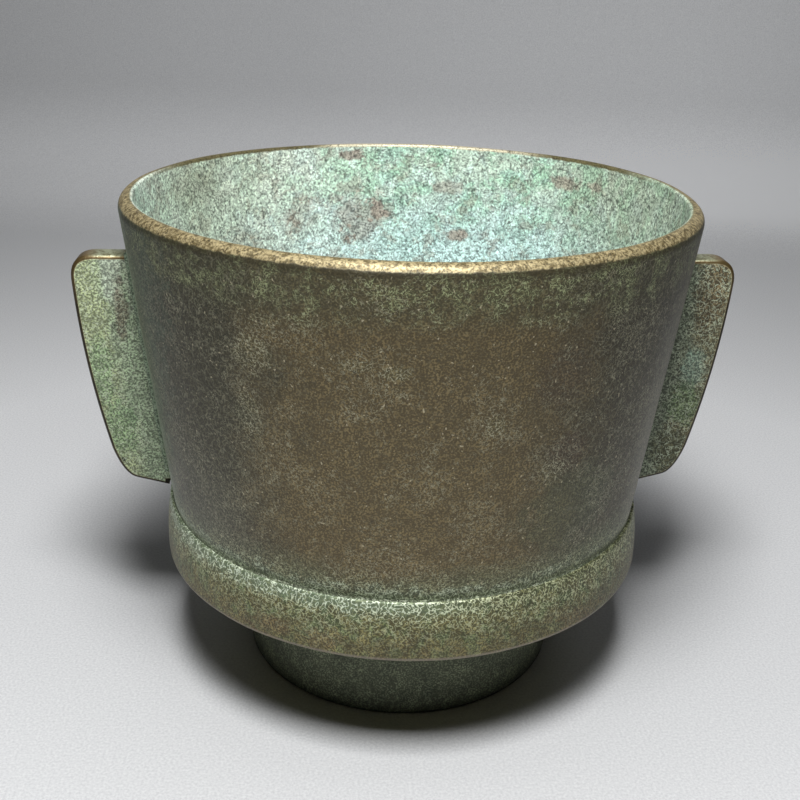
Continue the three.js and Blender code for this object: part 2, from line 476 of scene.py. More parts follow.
# %% A wrapped socket and a material writer
class Wire:
    """One value in a material, which can stand in a Python expression."""

    def __init__(self, paint, socket):
        self.paint = paint
        self.socket = socket

    def maths(self, operation, first, second):
        settings = {"operation": operation}
        return self.paint.node("ShaderNodeMath", settings, {0: first, 1: second})

    def __add__(self, other):
        return self.maths("ADD", self, other)

    __radd__ = __add__

    def __mul__(self, other):
        return self.maths("MULTIPLY", self, other)

    __rmul__ = __mul__

    def __sub__(self, other):
        return self.maths("SUBTRACT", self, other)

    def __rsub__(self, other):
        return self.maths("SUBTRACT", other, self)

    def __abs__(self):
        return self.paint.node("ShaderNodeMath", {"operation": "ABSOLUTE"}, {0: self})


class Paint:
    """Writes one material's nodes."""

    def __init__(self, name):
        self.material = bpy.data.materials.new(name)
        self.material.use_nodes = True
        self.tree = self.material.node_tree
        self.tree.nodes.clear()
        self.place = self.node("ShaderNodeTexCoord", {}, {}, "Object")
        parts = self.node("ShaderNodeSeparateXYZ", {}, {0: self.place}, "X")
        outputs = parts.socket.node.outputs
        self.x, self.y, self.z = (Wire(self, outputs[name]) for name in "XYZ")

    def node(self, kind, settings, inputs, output=0):
        """Adds a node of a kind, with its settings first and then its inputs."""
        made = self.tree.nodes.new(kind)
        for key, value in settings.items():
            setattr(made, key, value)
        for key, value in inputs.items():
            if isinstance(value, Wire):
                self.tree.links.new(value.socket, made.inputs[key])
            else:
                made.inputs[key].default_value = value
        return Wire(self, made.outputs[output])

    def vector(self, operation, inputs, output=0):
        """A step of vector maths."""
        return self.node("ShaderNodeVectorMath", {"operation": operation}, inputs, output)

    def noise(self, size, detail=3.0, roughness=0.55, distortion=0.0, shift=0.0):
        """Smooth noise whose lumps are about this size in metres. Shift picks another patch."""
        moved = self.vector("ADD", {0: self.place, 1: (shift, shift, shift)})
        inputs = {
            "Vector": moved, "Scale": 1 / size, "Detail": detail,
            "Roughness": roughness, "Distortion": distortion,
        }
        return self.node("ShaderNodeTexNoise", {}, inputs)

    def ease(self, value, low, high):
        """0 below low and 1 above high, with a smooth step between. Low may be the larger."""
        inputs = {"Value": value, "From Min": low, "From Max": high}
        return self.node("ShaderNodeMapRange", {"interpolation_type": "SMOOTHSTEP"}, inputs)

    def spread(self, value, low, high, bottom, top):
        """A value from low to high stretched to run from bottom to top, and held between them."""
        inputs = {"Value": value, "From Min": low, "From Max": high, "To Min": bottom, "To Max": top}
        return self.node("ShaderNodeMapRange", {}, inputs)

    def mix(self, amount, first, second):
        """A colour between two colours."""
        return self.node("ShaderNodeMix", {"data_type": "RGBA"}, {0: amount, 6: first, 7: second}, 2)

    def over(self, ground, *layers):
        """Layers of (amount, colour) laid over a ground colour, one after the other."""
        for amount, colour in layers:
            ground = self.mix(amount, ground, colour)
        return ground

    def shade(self, colour, factor):
        """A colour made darker or lighter by a factor."""
        return self.vector("SCALE", {0: colour, "Scale": factor})

    def radius(self):
        """Distance from the cup's upright axis."""
        flat = self.vector("MULTIPLY", {0: self.place, 1: (1, 1, 0)})
        return self.vector("LENGTH", {0: flat}, "Value")

    def grain(self, size, base, speck, shift=0.0):
        """A factor round 1: specks of this size on an even base, denser in some patches."""
        fine = self.spread(self.noise(size, 0, 0.5, 0.0, shift), 0.36, 0.66, 0.0, 1.0)
        patches = self.spread(self.noise(9 * size, 3, 0.6, 0.4, shift + 0.3), 0.35, 0.65, 0.45, 1.0)
        return fine * fine * patches * (speck - base) + base

    def worms(self, size, width, shift=0.0):
        """Short fine threads: 1 where a noise crosses its middle value and 0 away from there."""
        level = self.noise(size, 1, 0.5, 0.4, shift) - 0.5
        return self.ease(abs(level), width, 0.0)

    def blotch(self, turn, height, wide, tall, ragged, wall_radius=None):
        """1 inside a ragged blotch. Turn is in degrees from the front, to the right."""
        reach = wall_radius or wall_outer(height * MM)
        angle = math.radians(turn)
        centre = (math.sin(angle) * reach, -math.cos(angle) * reach, height * MM)
        away = self.vector("SUBTRACT", {0: self.place, 1: centre})
        stretch = (1 / (wide * MM), 1 / (wide * MM), 1 / (tall * MM))
        sized = self.vector("MULTIPLY", {0: away, 1: stretch})
        distance = self.vector("LENGTH", {0: sized}, "Value")
        return self.ease(distance + (ragged - 0.5) * 2.2, 1.25, 0.65)

    def marks(self, places, ragged, wall_radius=None):
        """Blotches in one mask, from places of (turn, height, wide, tall, strength)."""
        total = 0.0
        for turn, height, wide, tall, strength in places:
            total = self.blotch(turn, height, wide, tall, ragged, wall_radius) * strength + total
        return total

    def pitting(self):
        """The fine roughness of cast and corroded metal."""
        return self.noise(0.35 * MM, 3, 0.6, 0, 0.4)

    def lumpy(self, fine, size):
        """Heights for a bump: fine pitting and lumps of this size, in equal parts."""
        return fine * 0.5 + self.noise(size, 3, 0.6, 0, 0.6) * 0.5

    def finish(self, colour, roughness, metallic, height, depth):
        """Ends the material in a metal surface with a bump of this depth."""
        bump = self.node("ShaderNodeBump", {}, {"Height": height, "Distance": depth, "Strength": 1.0})
        inputs = {
            "Base Color": colour, "Roughness": roughness, "Metallic": metallic, "Normal": bump,
        }
        surface = self.node("ShaderNodeBsdfPrincipled", {}, inputs)
        output = self.tree.nodes.new("ShaderNodeOutputMaterial")
        self.tree.links.new(surface.socket, output.inputs["Surface"])
        print(f"{self.material.name}: {len(self.tree.nodes)} nodes")
        return self.material


def rgb(red, green, blue):
    """A colour read as screen values from 0 to 255, as the linear values of a socket."""
    linear = [((c / 255 + 0.055) / 1.055) ** 2.4 if c > 10 else c / 255 / 12.92 for c in (red, green, blue)]
    return (*linear, 1.0)


# %% [markdown]
# ## The wall's finish
#
# Every patina here is a slow colour, which drifts over centimetres, times a fine grain of specks a
# quarter of a millimetre across, with curled threads of verdigris on top. Outside, the slow colour
# is olive brown at the front, darker round the sides and under the lip, and greener at the waist.

# %% Ground of the outside
GRAIN_SIZE = 0.25 * MM


def brown_ground(paint, front, under_lip, moss):
    """Olive brown in front, darker round the sides and under the lip, greener above the waist."""
    side = paint.mix(paint.ease(paint.x, -12 * MM, 12 * MM), rgb(64, 61, 44), rgb(61, 56, 38))
    slow = paint.mix(front, side, rgb(96, 84, 56))
    # Painted light: the ground is made lighter towards the waist and darker towards the lip, standing in
    # for how the lamp's light falls down the wall.
    slow = paint.shade(slow, paint.spread(paint.z, waist_height, cup_top - 5 * MM, 1.10, 0.88))
    return paint.over(slow, (under_lip * 0.6, rgb(72, 70, 48)), (moss * 0.7, rgb(78, 88, 66)))


# %% [markdown]
# Beside the left ear the wall is blue-green, and pale in the very corner. Where it turns away from
# the eye, at the right and low at the left, a grey sheen is painted in, a painted reflection of the
# pale surroundings. Every strip gets a ragged edge: a noise is added to the distance before the edge
# is drawn.

# %% Strips beside the ears
def add_side_strips(paint, slow, ragged, wander):
    """The slow colour with its side strips, and the mask of the blue-green one."""
    torn = ragged - 0.5
    beside_ear = paint.ease(paint.x, -20 * MM, -26 * MM)
    strip_width = paint.spread(paint.z, 30 * MM, 70 * MM, 13 * MM, 24 * MM)
    past_strip = abs(paint.y) + wander * 0.1 + torn * (22 * MM) - strip_width
    teal = beside_ear * paint.ease(past_strip, 4 * MM, -4 * MM)
    seam = beside_ear * paint.ease(abs(paint.y) + torn * (14 * MM) + wander * 0.4, 15 * MM, 8 * MM)
    # Painted reflection: a grey sheen along the right outline and low on the left outline, where the wall
    # turns away from the eye.
    right = paint.ease(paint.x, 28 * MM, 34 * MM) * paint.ease(paint.z, 74 * MM, 60 * MM)
    right = right * paint.ease(paint.y + torn * (8 * MM), -28 * MM, -18 * MM)
    low_left = paint.ease(paint.x, -18 * MM, -30 * MM) * paint.ease(paint.z, 50 * MM, 34 * MM)
    slow = paint.over(
        slow, (teal * 0.7, rgb(72, 90, 74)), (seam * 0.7, rgb(170, 190, 164)),
        (right * 0.75, rgb(114, 112, 100)), (low_left * 0.4, rgb(108, 108, 96)),
    )
    return slow, teal


# %% [markdown]
# Some marks are this cup's own: pale flecks and brown stains. One more, a green-grey cloud on the
# lower right front, is partly patina and partly painted shade. They are few, so each is listed one
# by one. The numbers of a mark are how far round the wall it lies, in degrees from the front, its
# height, its half width and half height in millimetres, and its strength.

# %% Marks on the outside
PALE_FLECKS = [
    (-6, 62.5, 1.8, 1.0, 1.0),
    (-13, 63.3, 2.2, 0.9, 0.7),
    (11.5, 55, 1.3, 1.6, 0.8),
    (25, 47, 2.2, 2.0, 0.8),
    (-34, 54, 2.0, 3.4, 0.8),
    (-32, 63, 3.0, 2.4, 0.8),
]
STAINS = [(28, 49, 3.2, 3.4, 1.0), (24, 61, 4.0, 4.5, 0.6)]
# Partly green-grey patina and partly painted shade, low on the right front of the wall.
GREEN_CLOUD_AND_SHADE = [(32, 40, 8.0, 7.0, 1.0)]
print("marks outside:", len(PALE_FLECKS + STAINS + GREEN_CLOUD_AND_SHADE))

# %% [markdown]
# Water stands in the crease above the pan, so verdigris grows there as a crust with a ragged top,
# thinner towards the right. The threads are the finest part of the patina. They lie everywhere, and
# the masks of crust, moss and flecks only say how densely they crowd.

# %% Outside of the wall
def waist_crust(paint):
    """Crust that has grown up from the crease."""
    lumps = paint.noise(1.8 * MM, 4, 0.7, 0.3, 0.44)
    climb = paint.z + (lumps - 0.5) * (9 * MM)
    crust = paint.ease(climb, waist_height + 2.8 * MM, waist_height + 1.0 * MM)
    return crust * paint.ease(paint.x, 36 * MM, 12 * MM)


def outside_colour(paint):
    """Brown patina with pale threads, which crowd together in bands and blotches of verdigris."""
    drift = paint.noise(9 * MM, 4, 0.6)
    ragged = paint.noise(2.2 * MM, 5, 0.75, 0.3, 0.3)
    wander = (drift - 0.5) * (26 * MM)
    across = paint.x + wander
    front = paint.ease(across, -27 * MM, -15 * MM) * paint.ease(across, 26 * MM, 9 * MM)
    climb = paint.z + wander * 0.25
    under_lip = paint.ease(climb, cup_top - 9 * MM, cup_top - 4 * MM)
    lip_moss = under_lip * paint.ease(ragged, 0.45, 0.58)
    moss = paint.ease(climb, waist_height + 7 * MM, waist_height + 1.0 * MM)
    creep = paint.ease(paint.z + wander * 0.2, waist_height + 3.4 * MM, waist_height + 0.8 * MM)
    creep = creep * paint.ease(ragged, 0.46, 0.56)
    crust = waist_crust(paint)
    pale = paint.marks(PALE_FLECKS, ragged)
    pits = paint.ease(paint.noise(1.1 * MM, 2, 0.5, 0, 0.45), 0.30, 0.22)

    slow = brown_ground(paint, front, under_lip, moss)
    slow, teal = add_side_strips(paint, slow, ragged, wander)
    slow = paint.over(
        slow, (paint.marks(STAINS, ragged) * 0.5, rgb(72, 58, 46)),
        (paint.marks(GREEN_CLOUD_AND_SHADE, ragged) * 0.5, rgb(76, 82, 60)),
        (pale * 0.2 + lip_moss * 0.4, rgb(98, 102, 72)),
        (crust * 0.45, rgb(104, 116, 92)), (pits * 0.6, rgb(34, 32, 24)),
    )
    grainy = paint.shade(slow, paint.grain(GRAIN_SIZE, 0.70, 1.90))

    grey = paint.ease(drift + (ragged - 0.5) * 0.9, 0.46, 0.62)
    crowd = grey * 0.5 + lip_moss * 0.5 + moss * 0.6 + pale * 0.7 + teal * 0.25 + 0.12
    crowd = crowd + creep * 0.8 + crust * 0.6
    threads = paint.worms(0.5 * MM, 0.055, 0.7) * crowd
    threads = threads + paint.worms(1.0 * MM, 0.045, 0.1) * (1 - front) * 0.35
    thread = paint.mix(lip_moss + moss * 0.6, rgb(164, 162, 136), rgb(160, 168, 126))
    thread = paint.mix(crust * 0.8, thread, rgb(196, 206, 180))
    dots = paint.ease(paint.noise(0.4 * MM, 0, 0.5, 0, 0.62), 0.79, 0.84)
    return paint.over(grainy, (threads, thread), (dots * 0.7, rgb(196, 186, 156)))


# %% [markdown]
# Inside, pale verdigris covers the metal, bluer low down and greener near the lip, with grey-brown
# islands where the metal shows through. The islands that stand out are listed one by one as well,
# in two groups: those lower down lie on a slightly smaller circle.

# %% Inside of the wall
DEEP_ISLANDS = [
    (189, 62.5, 4.8, 4.4, 0.7),
    (185, 64.3, 1.0, 2.4, 0.6),
    (206, 63.5, 3.6, 3.4, 0.5),
    (162, 59.6, 2.4, 1.1, 1.0),
    (224, 60.5, 2.4, 1.6, 0.6),
]
HIGH_ISLANDS = [
    (191, 73.6, 2.6, 0.9, 1.0),
    (165, 68.1, 3.4, 1.2, 0.7),
    (133, 71.4, 3.2, 1.3, 1.0),
    (124, 71.9, 1.8, 0.8, 1.0),
]
SHADY_CORNER = [(239, 71.5, 7.0, 3.2, 1.0)]
DEEP_CIRCLE = mouth_radius - 4 * MM
HIGH_CIRCLE = mouth_radius - 3 * MM
print("marks inside:", len(DEEP_ISLANDS + HIGH_ISLANDS + SHADY_CORNER))


def inside_colour(paint):
    """Pale verdigris with dark and light threads and grey-brown islands."""
    drift = paint.noise(7 * MM, 5, 0.6, 0.3, 0.5)
    ragged = paint.noise(2.0 * MM, 5, 0.75, 0.5, 0.9)
    depth = paint.ease(paint.z + (drift - 0.5) * (16 * MM), cup_top - 4 * MM, cup_top - 18 * MM)
    patchy = paint.noise(3.0 * MM, 5, 0.7, 0.6, 0.05)
    islands = paint.ease(patchy + (drift - 0.5) * 0.5, 0.53, 0.62)
    brown = paint.marks(DEEP_ISLANDS, ragged, DEEP_CIRCLE) + paint.marks(HIGH_ISLANDS, ragged, HIGH_CIRCLE)
    # Partly painted light: the left of the inside is made paler and whiter, partly for its whiter verdigris
    # and partly for the light that falls on it there.
    left = paint.ease(paint.x, 4 * MM, -24 * MM)
    turquoise = paint.ease(paint.noise(4 * MM, 4, 0.65, 0.5, 0.77), 0.50, 0.60)
    turquoise = turquoise * paint.ease(paint.x, -36 * MM, -27 * MM) * (depth * 0.6 + 0.4)
    olive = paint.ease(paint.x, -12 * MM, -34 * MM) * paint.ease(paint.y, 0.0, 20 * MM)
    olive = olive + paint.ease(paint.x, 22 * MM, 38 * MM)

    blend = paint.ease(drift + (ragged - 0.5) * 0.5, 0.42, 0.56)
    mint = paint.mix(blend, rgb(174, 190, 174), rgb(150, 184, 160))
    slow = paint.over(
        mint, (depth * 0.75, rgb(178, 202, 202)), (left * 0.5, rgb(210, 214, 204)),
        (islands * 0.50 + brown * 0.9, rgb(140, 131, 120)),
        (turquoise * (1 - brown) * 0.65, rgb(184, 208, 206)), (olive * 0.55, rgb(150, 156, 134)),
        (paint.marks(SHADY_CORNER, ragged, DEEP_CIRCLE) * 0.35, rgb(112, 114, 92)),
    )
    mottle = paint.noise(1.6 * MM, 4, 0.7, 0.4, 0.22)
    slow = paint.shade(slow, paint.spread(mottle, 0.36, 0.60, 0.78, 1.14))
    grainy = paint.shade(slow, paint.grain(GRAIN_SIZE * 1.7, 1.34, 0.52, 0.11))
    threads = paint.worms(0.90 * MM, 0.07, 0.8) * 0.42 - paint.worms(0.90 * MM, 0.075, 0.3) * 0.60
    return paint.shade(grainy, threads + 1)


# %% [markdown]
# The lip is rubbed to bare brass by use. Below it, on the outside, a dark line is painted, partly
# the patina's edge and partly painted shade under the lip's round. A painted highlight brightens
# the brass in the middle of the back, where the lamp glances off it, and the sides are flecked.

# %% The lip's brass
def lip_brass(paint, back, drawn_in, lip_line):
    """Rubbed brass for the lip."""
    worn = paint.noise(0.55 * MM, 4, 0.7, 0, 0.5)
    brass = paint.mix(paint.ease(worn, 0.38, 0.60), rgb(98, 86, 56), rgb(170, 156, 118))
    low = paint.ease(lip_line, cup_top - 0.95 * MM, cup_top - 1.10 * MM)
    # Painted highlight: the middle of the back lip is mixed towards pale cream, where the lamp glances off
    # it.
    painted_back_highlight = back * paint.ease(paint.x, -16 * MM, -10 * MM) * paint.ease(paint.x, 28 * MM, 20 * MM)
    flecks = paint.ease(paint.noise(0.9 * MM, 4, 0.7, 0, 0.33), 0.56, 0.64)
    flecks = flecks * paint.ease(abs(paint.x), 8 * MM, 24 * MM)
    brass = paint.over(
        brass, (drawn_in * 0.6, rgb(112, 108, 78)), (low * 0.5, rgb(96, 78, 50)),
        (back * 0.6, rgb(96, 90, 58)), (painted_back_highlight * 0.8, rgb(214, 206, 178)), (flecks * 0.7, rgb(66, 54, 32)),
    )
    return paint.shade(brass, paint.grain(GRAIN_SIZE, 1.20, 0.40, 0.2))


# %% The wall's material
def wall_finish():
    """Patina outside and inside, and brass where the lip is rubbed."""
    paint = Paint("wall_patina")
    radius = paint.radius()
    middle = paint.z * taper + (waist_radius - waist_height * taper - WALL_THICKNESS / 2)
    inside = paint.ease(radius - middle, 0.2 * MM, -0.2 * MM)
    ragged = paint.noise(0.9 * MM, 4, 0.65, 0, 0.9)
    drawn_in = paint.ease(radius, mouth_radius - 1.2 * MM, mouth_radius - 1.9 * MM)
    lip_line = paint.z + paint.y * RIM_TILT - RIM_RISE + (ragged - 0.5) * (0.5 * MM)
    lip_line = lip_line - drawn_in * (0.40 * MM)
    back = paint.ease(paint.y, 5 * MM, 20 * MM)
    front = (1 - back) * paint.ease(radius, mouth_radius - 1.95 * MM, mouth_radius - 1.60 * MM)
    lip = paint.ease(lip_line, cup_top - 1.05 * MM, cup_top - 0.75 * MM) * (back + front)
    # Partly painted shade: a dark line under the lip's round, where the patina begins.
    edge = paint.ease(lip_line, cup_top - 2.3 * MM, cup_top - 1.2 * MM) * (1 - inside)

    patina = paint.mix(inside, outside_colour(paint), inside_colour(paint))
    brass = lip_brass(paint, back, drawn_in, lip_line)
    colour = paint.over(patina, (edge * 0.70, rgb(50, 45, 31)), (lip, brass))
    fine = paint.pitting()
    dull = inside * (1 - lip)
    roughness = 0.50 + dull * 0.30 + lip * 0.02 + (fine - 0.5) * 0.3
    metallic = 0.30 + lip * 0.10 - dull * 0.28
    depth = 0.10 * MM - lip * (0.07 * MM)
    height = paint.lumpy(fine, 1.4 * MM) * depth * (1 / MM)
    return paint.finish(colour, roughness, metallic, height, 1.0 * MM)


wall.data.materials.append(wall_finish())

# %% [markdown]
# ## The pan's and the foot's finish
#
# The band is greener at its top, where verdigris creeps out of the waist, and golden brown towards
# its lower edge, along which a pale line is a painted reflection of the floor. The cup's floor,
# which is part of the pan, has the wall's pale verdigris.

# %% Band colour
def band_ground(paint, drift, ragged, green):
    """Golden brown below and green-brown above, mottled, and darker towards the right."""
    torn = ragged - 0.5
    hue = paint.noise(1.8 * MM, 4, 0.6, 0.3, 0.37)
    rust = paint.blotch(-32, 22.0, 3.4, 1.4, ragged, band_radius)
    slow = paint.mix(paint.ease(drift, 0.5, 0.66), rgb(96, 92, 58), rgb(102, 86, 58))
    slow = paint.over(
        slow, (green, rgb(100, 100, 66)), (paint.ease(hue, 0.50, 0.62) * 0.5, rgb(88, 108, 72)),
        (paint.ease(hue, 0.50, 0.38) * 0.5, rgb(112, 104, 66)), (rust * 0.6, rgb(104, 84, 56)),
    )
    slow = paint.shade(slow, paint.spread(paint.x, 2 * MM, 30 * MM, 0.98, 0.70))
    slow = paint.shade(slow, paint.spread(ragged, 0.35, 0.65, 0.74, 1.26))
    top = paint.ease(paint.z + torn * (2 * MM), waist_height - 2.4 * MM, waist_height - 0.8 * MM)
    under = paint.ease(paint.z, waist_height - 5 * MM, waist_height - 8 * MM)
    rim = paint.ease(paint.z, waist_height - 0.7 * MM, waist_height - 0.2 * MM)
    rim = rim * paint.ease(ragged, 0.62, 0.46)
    return paint.over(
        slow, (top * 0.3, rgb(106, 114, 82)), (under * 0.35, rgb(98, 88, 54)), (rim * 0.6, rgb(74, 78, 54)),
    )


def band_colour(paint):
    """The band: its ground with a frost of verdigris on top, threads, and a painted reflection along its
    lower edge.
    """
    drift = paint.noise(8 * MM, 4, 0.6, 0, 0.2)
    ragged = paint.noise(2.4 * MM, 5, 0.75, 0.3, 0.8)
    torn = ragged - 0.5
    climb = paint.z + torn * (5 * MM) + (drift - 0.5) * (6 * MM)
    green = paint.ease(climb, band_low + 2.4 * MM, waist_height - 2.5 * MM)
    creep = paint.ease(paint.z + torn * (6 * MM), waist_height - 3.0 * MM, waist_height - 0.8 * MM)
    frosted = creep * paint.ease(paint.x, 14 * MM, -8 * MM)
    upward = paint.spread(paint.z, waist_height - 8 * MM, waist_height - 2 * MM, 0.6, 1.3)
    crowd = (green * 0.30 + 0.24) * upward + creep * paint.ease(paint.x, 24 * MM, -6 * MM) * 0.6
    # Painted reflection: a pale pinkish line along the band's lower edge, standing in for the bright floor
    # seen in the rounded edge.
    painted_floor_reflection = paint.ease(paint.z, band_low + 0.05 * MM, band_low + 0.3 * MM)
    painted_floor_reflection = painted_floor_reflection * paint.ease(paint.z, band_low + 0.9 * MM, band_low + 0.6 * MM)

    grain = paint.grain(GRAIN_SIZE, 0.58, 2.10)
    grainy = paint.shade(band_ground(paint, drift, ragged, green), grain)
    thread = paint.mix(frosted * 0.8, rgb(206, 212, 172), rgb(222, 234, 214))
    return paint.over(
        grainy, (frosted * 0.35, rgb(136, 158, 132)),
        (paint.worms(0.65 * MM, 0.06, 0.7) * crowd, thread), (painted_floor_reflection * 0.45, rgb(160, 148, 134)),
    )


# %% Pan's material
def pan_finish():
    """The band's colour outside, and the inside's colour on the cup's floor."""
    paint = Paint("pan_patina")
    inside = paint.ease(paint.radius(), band_radius - 2.2 * MM, band_radius - 3.0 * MM)
    above = paint.ease(paint.z, foot_height + 2.5 * MM, foot_height + 2.9 * MM)
    colour = paint.mix(inside * above, band_colour(paint), inside_colour(paint))
    fine = paint.pitting()
    roughness = 0.50 + (fine - 0.5) * 0.3
    return paint.finish(colour, roughness, 0.25, paint.lumpy(fine, 1.4 * MM), 0.12 * MM)


pan.data.materials.append(pan_finish())

# %% [markdown]
# The foot stands in the cup's own shade. It is dark green, and painted shade makes it darker still
# where it meets the table.

# %% Foot's material
def foot_finish():
    """Dark green patina, with painted shade darkest at the resting edge."""
    paint = Paint("foot_patina")
    ragged = paint.noise(3.0 * MM, 5, 0.7, 0.3, 0.8)
    slow = paint.mix(paint.ease(ragged, 0.36, 0.62), rgb(74, 80, 62), rgb(94, 100, 78))
    # Painted shade: the lowest 2 mm of the foot is mixed towards dark, where it meets the table.
    low = paint.ease(paint.z, 2.2 * MM, 0.2 * MM)
    slow = paint.mix(low * 0.5, slow, rgb(46, 50, 40))
    colour = paint.shade(slow, paint.grain(GRAIN_SIZE, 0.72, 2.60))
    fine = paint.pitting()
    return paint.finish(colour, 0.58 + (fine - 0.5) * 0.3, 0.2, fine, 0.08 * MM)


foot.data.materials.append(foot_finish())

# %% [markdown]
# ## The ears' finish
#
# The ears carry the thickest verdigris, in a coarse speckle. The left one is yellow green towards
# its outer edge, then mint, then grey near its root, and the right one is darker and browner. Their
# rims are worn to brown metal, which shines along the top.

# %% Ear ground and rims
ROOT_LEAN = 4 / 28


def ear_ground(paint, tones, ragged, shift):
    """Three tones across the ear, from its outer edge to its root, along the lean of the wall."""
    outer_tone, middle_tone, root_tone = tones
    drift = paint.noise(7 * MM, 4, 0.6, 0.2, shift + 0.5)
    across = paint.radius() + (ragged - 0.5) * (6 * MM) + (drift - 0.5) * (6 * MM)
    inward = across - (paint.z - waist_height) * ROOT_LEAN
    slow = paint.mix(paint.ease(inward, 40.0 * MM, 43.5 * MM), middle_tone, outer_tone)
    return paint.mix(paint.ease(inward, 38.5 * MM, 35.5 * MM), slow, root_tone)


def ear_rim(paint, ragged, shift):
    """Worn metal: brown down the edge, pale along the top, golden at the top's outer corner."""
    brown = paint.mix(paint.ease(ragged, 0.4, 0.62), rgb(34, 30, 20), rgb(60, 50, 32))
    brown = paint.mix(paint.ease(paint.z, 56 * MM, 66 * MM) * 0.6, brown, rgb(120, 100, 62))
    specks = paint.noise(0.75 * MM, 3, 0.7, 0.5, shift + 0.7)
    crown = paint.mix(paint.ease(specks, 0.40, 0.60), rgb(120, 116, 88), rgb(176, 180, 150))
    corner = paint.ease(paint.radius(), ear_reach - 4.5 * MM, ear_reach - 2 * MM)
    crown = paint.mix(corner, crown, rgb(128, 108, 74))
    above = paint.ease(paint.z, ear_top - 0.35 * MM, ear_top - 0.1 * MM)
    return paint.mix(above, brown, crown)


# %% [markdown]
# Each ear has a few patches and pits of its own. Seen from above, the front face of an ear lies
# about 87 degrees round from the front. A patch is given by its height, its distance from the
# cup's axis, its half width and half height, all in millimetres, and its tone. A patch as small
# as a pit has a clean edge, and larger ones have a ragged edge.

# %% Ear's material
EAR_FACE_TURN = 87.3
PIT_SIZE = 0.5


def ear_finish(name, side, shift, tones, patches):
    """The material of one ear. Shift picks another patch of every noise."""
    paint = Paint(name)
    ragged = paint.noise(2.2 * MM, 5, 0.75, 0.4, shift)
    slow = ear_ground(paint, tones, ragged, shift)
    for height, reach, wide, tall, tone in patches:
        torn = ragged if wide > PIT_SIZE else 0.5
        patch = paint.blotch(side * EAR_FACE_TURN, height, wide, tall, torn, reach * MM)
        slow = paint.mix(patch * 0.75, slow, tone)
    grainy = paint.shade(slow, paint.grain(GRAIN_SIZE * 1.15, 0.55, 2.20, shift))

    crowd = paint.ease(ragged, 0.42, 0.60) * 0.4 + 0.35
    from_middle = abs(paint.y)
    face = ear_thickness / 2
    cream = paint.ease(from_middle, face - 0.002 * MM, face - 0.02 * MM)
    rim = paint.ease(from_middle, face - 0.015 * MM, face - 0.04 * MM)
    colour = paint.over(
        grainy, (paint.worms(0.6 * MM, 0.05, shift + 0.2) * 0.40, rgb(64, 70, 48)),
        (paint.worms(0.6 * MM, 0.06, shift + 0.7) * crowd, rgb(206, 218, 190)),
        (cream * 0.4, rgb(190, 176, 134)), (rim, ear_rim(paint, ragged, shift)),
    )
    relief = paint.lumpy(paint.pitting(), 1.2 * MM)
    return paint.finish(colour, 0.62 - rim * 0.2, 0.1 + rim * 0.5, relief, 0.10 * MM)


left_tones = (rgb(148, 158, 120), rgb(138, 154, 126), rgb(136, 142, 128))
left_patches = [
    (63.5, 44.6, 1.6, 5.0, rgb(160, 170, 154)),
    (57.5, 43.6, 1.0, 5.5, rgb(104, 92, 78)),
    (47.5, 47.2, 2.0, 6.0, rgb(120, 144, 108)),
    (38.0, 45.0, 2.6, 5.0, rgb(118, 144, 106)),
    (55.0, 45.0, 0.45, 0.45, rgb(10, 12, 8)),
    (32.6, 44.9, 0.5, 0.45, rgb(10, 12, 8)),
]
right_tones = (rgb(104, 100, 76), rgb(100, 108, 90), rgb(66, 68, 52))
right_patches = [
    (61.0, 47.2, 2.6, 7.0, rgb(84, 70, 46)),
    (48.0, 46.0, 2.2, 3.4, rgb(124, 146, 130)),
    (42.0, 45.0, 2.6, 4.0, rgb(92, 112, 78)),
    (34.0, 43.5, 3.0, 4.0, rgb(84, 86, 62)),
]
left_ear.data.materials.append(ear_finish("left_ear_patina", -1, 0.0, left_tones, left_patches))
right_ear.data.materials.append(ear_finish("right_ear_patina", 1, 0.2, right_tones, right_patches))

# %% [markdown]
# ## The solder's finish
#
# Solder dulls to the colour of what it joins. In the crease pale verdigris lies on it in broken
# stretches along the front.

# %% Solder's material
def solder_finish(name, pale, dull):
    """Dull solder with pale threads, which crowd in the front of the crease and beside the ears."""
    paint = Paint(name)
    specks = paint.noise(0.65 * MM, 3, 0.7, 0.8)
    slow = paint.mix(paint.ease(specks, 0.5, 0.7) * 0.3, dull, pale)
    grainy = paint.shade(slow, paint.grain(GRAIN_SIZE, 0.6, 2.1))
    crease = paint.ease(paint.z, waist_height + 0.60 * MM, waist_height + 0.30 * MM)
    broken = paint.ease(paint.noise(1.5 * MM, 3, 0.7, 0.4), 0.42, 0.56)
    front = paint.ease(paint.y, -12 * MM, -20 * MM)
    above_waist = paint.ease(paint.z, waist_height + 0.8 * MM, waist_height + 0.9 * MM)
    crowd = crease * broken * front * 0.7 + above_waist * 0.6 + 0.10
    colour = paint.mix(paint.worms(0.5 * MM, 0.08, 0.7) * crowd, grainy, pale)
    return paint.finish(colour, 0.7, 0.1, specks, 0.10 * MM)


waist_bead.data.materials.append(solder_finish("waist_verdigris", rgb(196, 204, 180), rgb(84, 92, 70)))
foot_bead.data.materials.append(solder_finish("foot_verdigris", rgb(74, 84, 66), rgb(44, 50, 40)))
dull_solder = solder_finish("dull_solder", rgb(176, 192, 168), rgb(108, 124, 102))
for bead in (right_bead, left_bead):
    bead.data.materials.append(dull_solder)

# %% [markdown]
# ## Floor and light
#
# The cup stands on a pale matt sheet that curves up behind it. A small lamp close above and in
# front gives the shadows their depth; two weak ones at the sides and an even, dim room fill them.

# %% Floor
SHEET_BEND = 0.25
SHEET_BACK = 0.31
SHEET_HALF_WIDTH = 3.0
SHEET_TOP = 2.0
SHEET_TURN = math.radians(-6)


